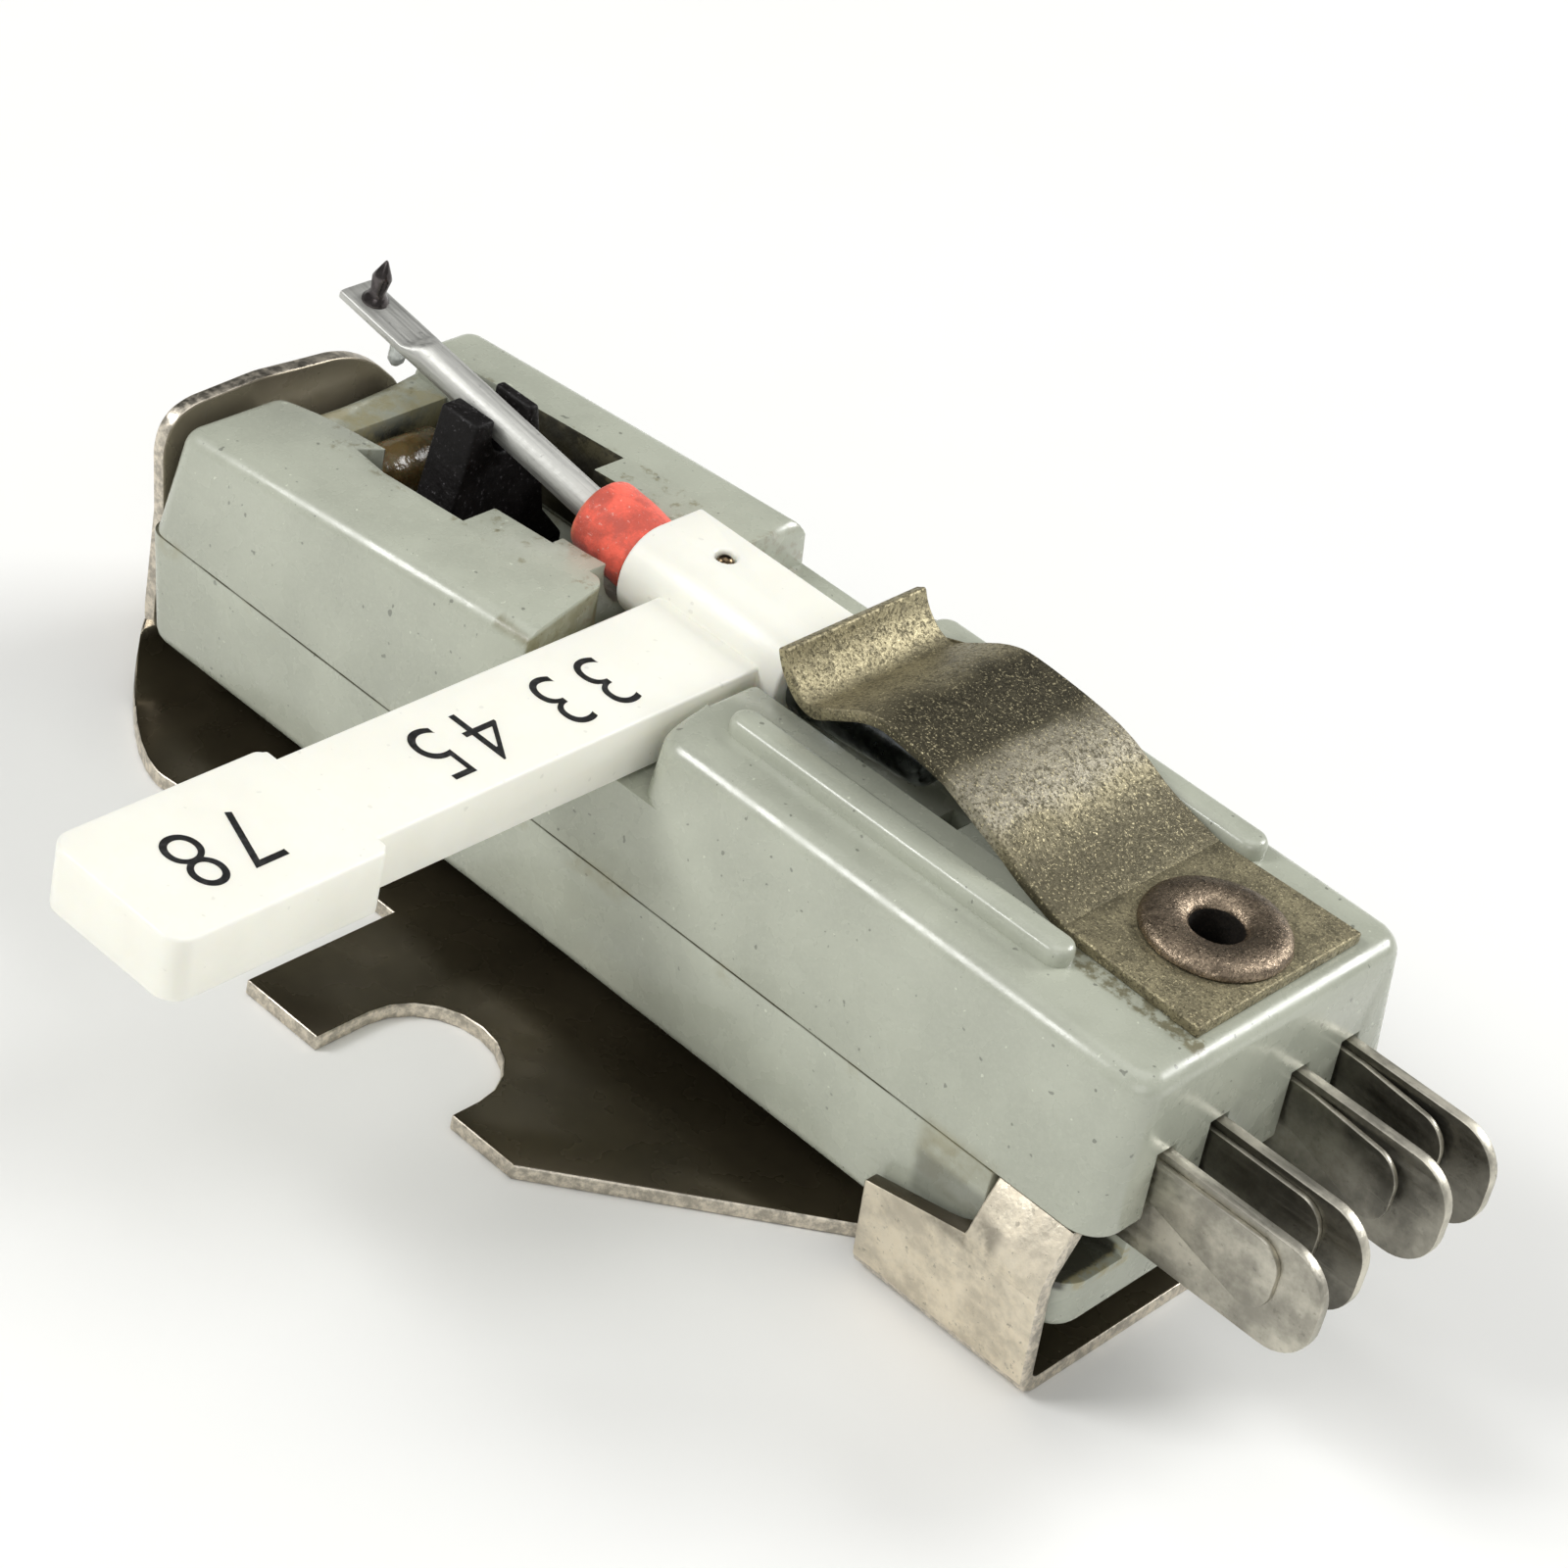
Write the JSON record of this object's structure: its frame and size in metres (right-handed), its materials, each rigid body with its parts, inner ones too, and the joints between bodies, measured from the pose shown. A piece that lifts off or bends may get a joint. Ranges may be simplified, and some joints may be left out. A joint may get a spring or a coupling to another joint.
{
  "type": "turnover phono cartridge",
  "caption": "Slim turnover pick-up cartridge with a flip lever, tubular cantilever, two-part moulded shell, spring clip, terminal blades and a notched sheet-metal bracket.",
  "frame": {"origin": "on the underside of the bracket's plate, midway between the centres of the two mounting notches", "axes": "+X from the nose to the terminals, +Z from the bracket up to the stylus lever, -Y towards the lever's grip as stored; the part lies on its bracket, upside down compared with its place in a tone arm"},
  "size_m": [0.0255, 0.0206, 0.0081],
  "materials": {
    "grey_plastic": "moulded polystyrene, satin gloss, grey-green",
    "ivory_plastic": "moulded nylon, soft gloss, ivory",
    "nickel_steel": "nickel plated, dark reflections, worn edges",
    "clip_bronze": "mottled spring bronze, tarnished",
    "eyelet_bronze": "tarnished and pitted",
    "amber_rubber": "aged, semi-clear",
    "piezo_ceramic": "matt, silvered faces",
    "black_rubber": "matt with lint",
    "tinned_brass": "dull tin plate",
    "lead_brass": "dull tin plate",
    "dark_steel": "polished, dark",
    "red_rubber": "matt, worn rim",
    "dark_rubber": "matt",
    "tube_aluminium": "drawn, satin",
    "fine_sapphire": "dark polished tip",
    "coarse_sapphire": "pale glassy tip"
  },
  "bodies": {
    "body": {"mounting_bracket": "nickel_steel", "lower_shell": "grey_plastic", "upper_shell": "grey_plastic", "clip_foot": "clip_bronze", "clip_eyelet": "eyelet_bronze", "front_damper": "amber_rubber", "piezo_element_left": "piezo_ceramic", "piezo_element_right": "piezo_ceramic", "element_clamp_lower": "black_rubber", "element_clamp_upper": "black_rubber", "terminal_blade_1": "tinned_brass", "contact_leaf_1": "tinned_brass", "element_lead_1": "lead_brass", "terminal_blade_2": "tinned_brass", "contact_leaf_2": "tinned_brass", "element_lead_2": "lead_brass", "terminal_blade_3": "tinned_brass", "contact_leaf_3": "tinned_brass", "element_lead_3": "lead_brass", "terminal_blade_4": "tinned_brass", "contact_leaf_4": "tinned_brass", "element_lead_4": "lead_brass"},
    "lever": {"stylus_lever": "ivory_plastic", "lever_axle": "dark_steel", "hub_locking_pin": "dark_steel"},
    "sleeve": {"cantilever_sleeve": "red_rubber"},
    "sleeve_core": {"sleeve_core": "dark_rubber"},
    "cantilever": {"cantilever": "tube_aluminium", "stylus_fine": "fine_sapphire", "stylus_coarse": "coarse_sapphire"},
    "fork": {"coupler_fork": "black_rubber"},
    "clip_arm": {"clip_arm": "clip_bronze"}
  },
  "joints": [
    {"name": "lever_flip", "type": "hinge", "parent": "body", "child": "lever", "pos_m": [0.001, 0.0003, 0.006], "axis": [-1, 0, 0], "range_deg": [0, 180]},
    {"name": "stylus_vertical", "type": "hinge", "parent": "body", "child": "sleeve", "pos_m": [-0.00269, 0.0003, 0.006], "axis": [0, 1, 0], "range_deg": [-1.2, 1.2], "stiffness_Nm_per_rad": 0.001},
    {"name": "stylus_lateral", "type": "hinge", "parent": "sleeve", "child": "sleeve_core", "pos_m": [-0.00346, 0.0003, 0.00612], "axis": [0, 0, 1], "range_deg": [-1, 1], "stiffness_Nm_per_rad": 0.001},
    {"name": "cantilever_turn", "type": "hinge", "parent": "sleeve_core", "child": "cantilever", "pos_m": [-0.00269, 0.0003, 0.006], "axis": [-0.9888, 0, 0.1495], "range_deg": [0, 180]},
    {"name": "coupler_rock", "type": "hinge", "parent": "body", "child": "fork", "pos_m": [-0.0068, 0.0003, 0.003], "axis": [1, 0, 0], "range_deg": [-1.2, 1.2]},
    {"name": "clip_flex", "type": "hinge", "parent": "body", "child": "clip_arm", "pos_m": [0.008, 0.0003, 0.00647], "axis": [0, 1, 0], "range_deg": [0, 8], "stiffness_Nm_per_rad": 0.01, "springref_deg": -2.86}
  ],
  "couplings": [
    {"joint": "cantilever_turn", "follows": "lever_flip", "ratio": 1},
    {"joint": "coupler_rock", "follows": "stylus_lateral", "ratio": 0.92}
  ]
}
